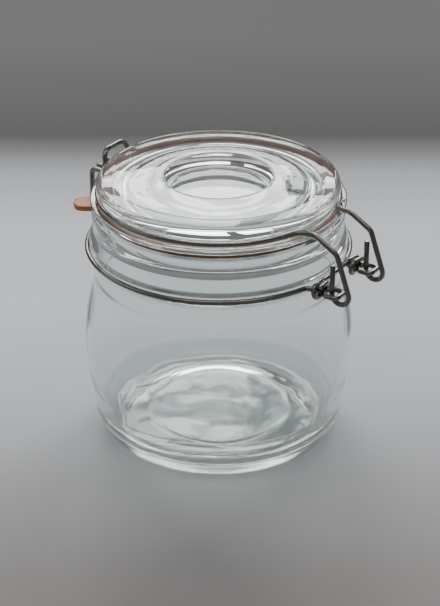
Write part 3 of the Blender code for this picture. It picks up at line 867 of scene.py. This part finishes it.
def make_soft_marks():
    group, given, result = new_mask("soft_marks", Size=120.0, Cover=0.5)
    places = object_places(group)
    coarse = noise_at(group, places, given["Size"], Detail=4.0, Roughness=0.6, Distortion=0.4)
    finer = calculate(group, "MULTIPLY", given["Size"], FINER_MARKS)
    fine = noise_at(group, places, finer, Detail=6.0, Roughness=0.7)
    both = calculate(group, "MULTIPLY", coarse, fine)
    start = calculate(group, "SUBTRACT", 0.5, calculate(group, "MULTIPLY", given["Cover"], 0.5))
    feed(group, result, {"Mask": remap(group, both, (start, MARK_EDGE))})
    return group


def make_outer_part():
    group, given, result = new_mask("outer_part", Start=0.0, End=1.0)
    places = object_places(group)
    flat = add(group, "ShaderNodeVectorMath", {0: places, 1: (1, 1, 0)}, operation="MULTIPLY")
    middle = (JAR_X, 0, 0)
    reach = add(group, "ShaderNodeVectorMath", {0: flat.outputs[0], 1: middle}, operation="DISTANCE")
    ends = (given["Start"], given["End"])
    feed(group, result, {"Mask": remap(group, reach.outputs["Value"], ends, curve="SMOOTHSTEP")})
    return group


soft_marks = make_soft_marks()
outer_part = make_outer_part()
print("shared masks:", soft_marks.name, "and", outer_part.name)

# %% [markdown]
# Clear glass is a plain transmission shader: what makes it look like glass is the shape of its two
# faces, not its colour. It has a trace of green, which thick glass shows at its edges, very faint
# waves that the mould and the fire leave, and the soft marks, which only raise its roughness a
# little. The thick foot is greener, and it is pressed against a cooler mould and scuffed by use, so
# below a given height the waves are stronger and the face is duller. The mould also leaves a faint
# round step in the middle of the foot. Rays from a lamp pass straight through, fewer where they
# graze the wall, because real glass throws a pale shadow with a darker rim.

# %% Glass
CLEAR_GLASS = (0.955, 0.985, 0.975, 1)
THICK_GLASS = (0.79, 0.86, 0.84, 1)
GLASS_IOR = 1.5
CLEAN_ROUGHNESS = 0.005
FOOT_TOP = HEEL_HEIGHT * 0.7
FOOT_FADE = 0.004
FOOT_WAVES = 1.6
FOOT_DULLNESS = 0.07
DISC_RADIUS = 0.0265
DISC_STEP = 0.0025
DISC_RELIEF = 1.5
GRAZING = 0.35
LIGHT_THROUGH = (0.74, 0.10)


def make_glass(name, wave_size, wave_depth, foot, mark_size, haze):
    made, tree, shader = new_material(name)
    places = object_places(tree)
    height = add(tree, "ShaderNodeSeparateXYZ", {0: places}).outputs["Z"]
    in_foot = remap(tree, height, (foot + FOOT_FADE, foot), curve="SMOOTHSTEP")
    past_disc = mask_from(tree, outer_part, Start=DISC_RADIUS, End=DISC_RADIUS + DISC_STEP)
    pressed = calculate(tree, "MULTIPLY", past_disc, in_foot)
    waves = noise_at(tree, places, wave_size, Detail=2.0, Roughness=0.4)
    wave_share = calculate(tree, "MULTIPLY_ADD", in_foot, FOOT_WAVES, 1.0)
    surface = calculate(tree, "MULTIPLY", waves, wave_share)
    relief = calculate(tree, "MULTIPLY_ADD", pressed, DISC_RELIEF, surface)
    give_relief(tree, shader, relief, strength=0.35, depth=wave_depth)
    marks = mask_from(tree, soft_marks, Size=mark_size, Cover=0.45)
    marked = remap(tree, marks, (0.0, 1.0), (CLEAN_ROUGHNESS, haze))
    feed(tree, shader, {
        "Base Color": mix(tree, in_foot, CLEAR_GLASS, THICK_GLASS),
        "Roughness": calculate(tree, "MULTIPLY_ADD", in_foot, FOOT_DULLNESS, marked),
        "Metallic": 0.0,
        "Transmission Weight": 1.0,
        "IOR": GLASS_IOR,
    })
    graze = add(tree, "ShaderNodeLayerWeight", {"Blend": GRAZING}).outputs["Facing"]
    passing = remap(tree, graze, (0.0, 1.0), LIGHT_THROUGH)
    from_lamp = add(tree, "ShaderNodeLightPath", {}).outputs["Is Shadow Ray"]
    let_by = calculate(tree, "MULTIPLY", passing, from_lamp)
    clear = add(tree, "ShaderNodeBsdfTransparent", {}).outputs[0]
    either = add(tree, "ShaderNodeMixShader", {0: let_by, 1: shader.outputs[0], 2: clear})
    feed(tree, tree.nodes["Material Output"], {"Surface": either.outputs[0]})
    return made


jar.data.materials.append(make_glass(
    "blown_glass", wave_size=55.0, wave_depth=0.0004, foot=FOOT_TOP, mark_size=70.0, haze=0.07,
))
lid.data.materials.append(make_glass(
    "pressed_glass", wave_size=80.0, wave_depth=0.00012, foot=0.0, mark_size=130.0, haze=0.16,
))
print("glass:", [piece.data.materials[0].name for piece in (jar, lid)])

# %% [markdown]
# The ring is natural rubber, painted in two tones: dark red-brown, which is painted shade, where it
# lies under the lid, and paler orange, which is painted light, on its outer edge and tab. The distance
# from the jar's axis tells the two apart.
# A noise gives the mottling of the mix, the soft marks a dull bloom on it, and a fine bump the
# talc-dusted skin.

# %% Rubber
# The first two tones are the rubber in painted shade under the lid, the next two the rubber in painted
# light on its outer edge and tab.
SHADED_RUBBER_DEEP = (0.095, 0.020, 0.012, 1)
SHADED_RUBBER_RED = (0.19, 0.045, 0.024, 1)
LIT_RUBBER_DEEP = (0.44, 0.13, 0.035, 1)
LIT_RUBBER_PALE = (0.72, 0.28, 0.09, 1)
BLOOM = (0.66, 0.34, 0.17, 1)
BLOOM_SHARE = 0.5
RUBBER_ROUGHNESS = (0.42, 0.7)
MOTTLE_SIZE = 260.0
SKIN_SIZE = 3000.0
SKIN_DEPTH = 0.0001
PAINTED_LIGHT_FROM = RING_OUTER - 0.0006
PAINTED_LIGHT_FULL = RING_OUTER + 0.0012


def make_rubber_finish():
    made, tree, shader = new_material("orange_rubber_soft")
    places = object_places(tree)
    mottle = noise_at(tree, places, MOTTLE_SIZE, Detail=5.0, Roughness=0.6)
    # The first mix is the ring in painted shade under the lid, the second the ring in painted light on
    # its edge and tab; the outer part's mask blends from the painted shade to the painted light.
    pressed = mix(tree, mottle, SHADED_RUBBER_DEEP, SHADED_RUBBER_RED)
    lit_rubber = mix(tree, mottle, LIT_RUBBER_DEEP, LIT_RUBBER_PALE)
    in_painted_light = mask_from(tree, outer_part, Start=PAINTED_LIGHT_FROM, End=PAINTED_LIGHT_FULL)
    tone = mix(tree, in_painted_light, pressed, lit_rubber)
    bloom = mask_from(tree, soft_marks, Size=160.0, Cover=0.6)
    faint_bloom = calculate(tree, "MULTIPLY", bloom, BLOOM_SHARE)
    skin = noise_at(tree, places, SKIN_SIZE, Detail=3.0)
    give_relief(tree, shader, skin, strength=0.25, depth=SKIN_DEPTH)
    feed(tree, shader, {
        "Base Color": mix(tree, faint_bloom, tone, BLOOM),
        "Roughness": remap(tree, bloom, (0.0, 1.0), RUBBER_ROUGHNESS),
        "Subsurface Weight": 0.08,
        "Subsurface Radius": (0.004, 0.0015, 0.0006),
    })
    return made


rubber.data.materials.append(make_rubber_finish())
print("rubber:", rubber.data.materials[0].name)

# %% [markdown]
# The wire is hard-drawn steel, polished but greyed by years in a kitchen. The die leaves fine lines
# along it, so the noise for them reads the grain that the sweep stored: it is stretched along the
# wire and quick around it. The soft marks dull it in patches and tint it a little brown. The cut
# ends are a second, rougher finish.

# %% Steel
DRAWN_BRIGHT = (0.25, 0.24, 0.22, 1)
DRAWN_DULL = (0.12, 0.105, 0.09, 1)
CUT_BRIGHT = (0.52, 0.50, 0.47, 1)
CUT_DULL = (0.24, 0.19, 0.15, 1)
LINE_RANGE = (0.3, 0.7)
STEEL_ROUGHNESS = (0.12, 0.28)
MARK_DULLNESS = 0.18


def make_steel(name, bright, dull, along, around, depth):
    made, tree, shader = new_material(name)
    grain = add(tree, "ShaderNodeAttribute", {}, attribute_name="grain").outputs["Vector"]
    drawn_out = add(tree, "ShaderNodeMapping", {"Vector": grain, "Scale": (along, around, around)})
    lines = noise_at(tree, drawn_out.outputs["Vector"], 1.0, Detail=4.0, Roughness=0.65)
    give_relief(tree, shader, lines, strength=0.4, depth=depth)
    lined = remap(tree, lines, LINE_RANGE, STEEL_ROUGHNESS)
    marks = mask_from(tree, soft_marks, Size=210.0, Cover=0.55)
    feed(tree, shader, {
        "Base Color": mix(tree, marks, bright, dull),
        "Roughness": calculate(tree, "MULTIPLY_ADD", marks, MARK_DULLNESS, lined),
        "Metallic": 1.0,
    })
    return made


drawn = make_steel("drawn_steel", DRAWN_BRIGHT, DRAWN_DULL, along=60.0, around=4200.0, depth=0.00005)
cut = make_steel("cut_steel", CUT_BRIGHT, CUT_DULL, along=2500.0, around=2500.0, depth=0.00012)
wires = (neck_wire, rear_wire, lid_wire, lever)
for piece in wires:
    piece.data.materials.append(drawn)
    piece.data.materials.append(cut)
print("steel on", len(wires), "wires")

# %% [markdown]
# The jar stands on a painted sill. A plain pale floor with a satin finish stands for it. Its colour
# holds painted light and shade: it is palest just behind the jar, a painted pool of light, darkens
# towards the room in a painted shadow and fall-off of light in front of the jar, darkens in a painted
# shadow before the window frame, and far behind the jar turns to the dim grey of the window frame,
# a grey darkened by painted shade. A colour ramp over the depth of the floor holds those tones.
# Because they lie on the floor and not on a wall, the jar can be seen from every side.

# %% Floor
VIEW_TURN = radians(34)
towards = Vector((sin(VIEW_TURN), -cos(VIEW_TURN), 0))
FLOOR_REACH = 6.0
FLOOR_BELOW = 0.0001
BRUSH_SIZE = 40.0
BRUSH_DEPTH = 0.0005
# Depth and floor colour: painted light just behind the jar, painted shadow and fall-off in front of it,
# a painted shadow before the window frame and the frame's grey in painted shade beyond.
SILL_LIGHT_AND_SHADE = (
    (-0.16, (0.30, 0.275, 0.26)),
    (-0.10, (0.35, 0.335, 0.325)),
    (-0.04, (0.45, 0.45, 0.455)),
    (0.03, (0.66, 0.68, 0.71)),
    (0.10, (0.77, 0.80, 0.84)),
    (0.18, (0.74, 0.77, 0.81)),
    (0.235, (0.50, 0.515, 0.54)),
    (0.265, (0.20, 0.20, 0.20)),
    (0.284, (0.080, 0.080, 0.075)),
    (0.33, (0.105, 0.105, 0.102)),
    (0.42, (0.145, 0.145, 0.143)),
)


def make_paint():
    made, tree, shader = new_material("painted_sill")
    places = object_places(tree)
    away = tuple(-towards)
    depth = add(tree, "ShaderNodeVectorMath", {0: places, 1: away}, operation="DOT_PRODUCT")
    nearest = SILL_LIGHT_AND_SHADE[0][0]
    farthest = SILL_LIGHT_AND_SHADE[-1][0]
    share = remap(tree, depth.outputs["Value"], (nearest, farthest))
    # This ramp paints the light and shade of the sill over its depth.
    light_and_shade_ramp = add(tree, "ShaderNodeValToRGB", {"Fac": share})
    stops = light_and_shade_ramp.color_ramp.elements
    while len(stops) < len(SILL_LIGHT_AND_SHADE):
        stops.new(0.5)
    for stop, (at, tone) in zip(stops, SILL_LIGHT_AND_SHADE):
        stop.position = (at - nearest) / (farthest - nearest)
        stop.color = (*tone, 1)
    brush = noise_at(tree, places, BRUSH_SIZE, Detail=3.0)
    give_relief(tree, shader, brush, strength=0.05, depth=BRUSH_DEPTH)
    feed(tree, shader, {
        "Base Color": light_and_shade_ramp.outputs["Color"],
        "Roughness": 0.5,
        "Specular IOR Level": 0.1,
    })
    return made


def make_floor():
    shape = bmesh.new()
    bmesh.ops.create_grid(shape, x_segments=1, y_segments=1, size=FLOOR_REACH)
    mesh = bpy.data.meshes.new("sill")
    shape.to_mesh(mesh)
    shape.free()
    mesh.materials.append(make_paint())
    floor = bpy.data.objects.new("sill", mesh)
    bpy.context.scene.collection.objects.link(floor)
    floor.location.z = -FLOOR_BELOW
    return floor


make_floor()
print("floor tones:", len(SILL_LIGHT_AND_SHADE))

# %% [markdown]
# Soft daylight comes over the frame from behind, so the floor is brightest behind the jar and the
# jar's shade falls towards the eye. Four panes far behind and above stand for the window. The lid
# mirrors the low ones, and the dark bars between them give its sheen an edge. Two weaker panels
# stand for the pale wall at the left and the ceiling, and a dim grey world for the room.

# %% Light
behind = -towards
aside = Vector((cos(VIEW_TURN), sin(VIEW_TURN), 0))
up = Vector((0, 0, 1))
WINDOW_BEHIND = 3.0
WINDOW_GLOW = 27.0
WINDOW_SPANS = {"left": (-1.70, 0.15), "right": (0.38, 2.40)}
WINDOW_RISES = {"low": (1.445, 1.65), "high": (1.87, 3.60)}
JAR_MIDDLE = (0, 0, 0.05)
ROOM_GREY = (0.50, 0.52, 0.55, 1)
ROOM_GLOW = 0.33


def panel(name, power, size, place, aim):
    light = bpy.data.lights.new(name, "AREA")
    light.shape = "RECTANGLE"
    light.energy = power
    light.size = size[0]
    light.size_y = size[1]
    lamp = bpy.data.objects.new(name, light)
    bpy.context.scene.collection.objects.link(lamp)
    lamp.location = place
    lamp.rotation_mode = "QUATERNION"
    lamp.rotation_quaternion = (Vector(aim) - Vector(place)).to_track_quat("-Z", "Y")


for column, (left, right) in WINDOW_SPANS.items():
    for row, (bottom, top) in WINDOW_RISES.items():
        size = (right - left, top - bottom)
        place = behind * WINDOW_BEHIND + aside * (left + right) / 2 + up * (bottom + top) / 2
        panel(f"window_{column}_{row}", WINDOW_GLOW * size[0] * size[1], size, place, place - behind)
panel("side_fill", power=1.5, size=(0.9, 0.9), place=up * 0.7 - aside * 1.1, aim=JAR_MIDDLE)
panel("ceiling", power=4.0, size=(1.4, 0.8), place=up * 1.5 + towards * 0.5, aim=JAR_MIDDLE)
room = bpy.data.worlds.new("room")
room.use_nodes = True
feed(room.node_tree, room.node_tree.nodes["Background"], {"Color": ROOM_GREY, "Strength": ROOM_GLOW})
bpy.context.scene.world = room
print("four panes, two weaker panels and a grey room")

# %% [markdown]
# The camera stands about 28 degrees above level and far enough away that the jar's sides hardly
# converge. It aims half way up the jar and half a millimetre to the right of its axis, because the
# jar stands that much left of the picture's middle.

# %% Camera
VIEW_RISE = radians(27.75)
LENS = 130.7
DISTANCE = 0.843
AIM_HEIGHT = 0.0514
AIM_ASIDE = 0.00053
camera = bpy.data.objects.new("camera", bpy.data.cameras.new("camera"))
bpy.context.scene.collection.objects.link(camera)
camera.data.lens = LENS
aim = Vector((JAR_X, 0, AIM_HEIGHT)) + aside * AIM_ASIDE
sight = towards * cos(VIEW_RISE) + up * sin(VIEW_RISE)
camera.location = aim + sight * DISTANCE
camera.rotation_mode = "QUATERNION"
camera.rotation_quaternion = (-sight).to_track_quat("-Z", "Y")
bpy.context.scene.camera = camera
print(f"camera {degrees(VIEW_TURN):.0f} degrees round, {degrees(VIEW_RISE):.1f} up")

# %% [markdown]
# Light that enters the thick heel of the jar runs round inside the glass many times before it comes
# out. A path that is cut short there renders black, so the paths may be longer than usual.

# %% Light paths
GLASS_BOUNCES = 40
bpy.context.scene.cycles.max_bounces = GLASS_BOUNCES
bpy.context.scene.cycles.transmission_bounces = GLASS_BOUNCES
bpy.context.scene.cycles.glossy_bounces = GLASS_BOUNCES // 2
print("paths of up to", GLASS_BOUNCES, "bounces")
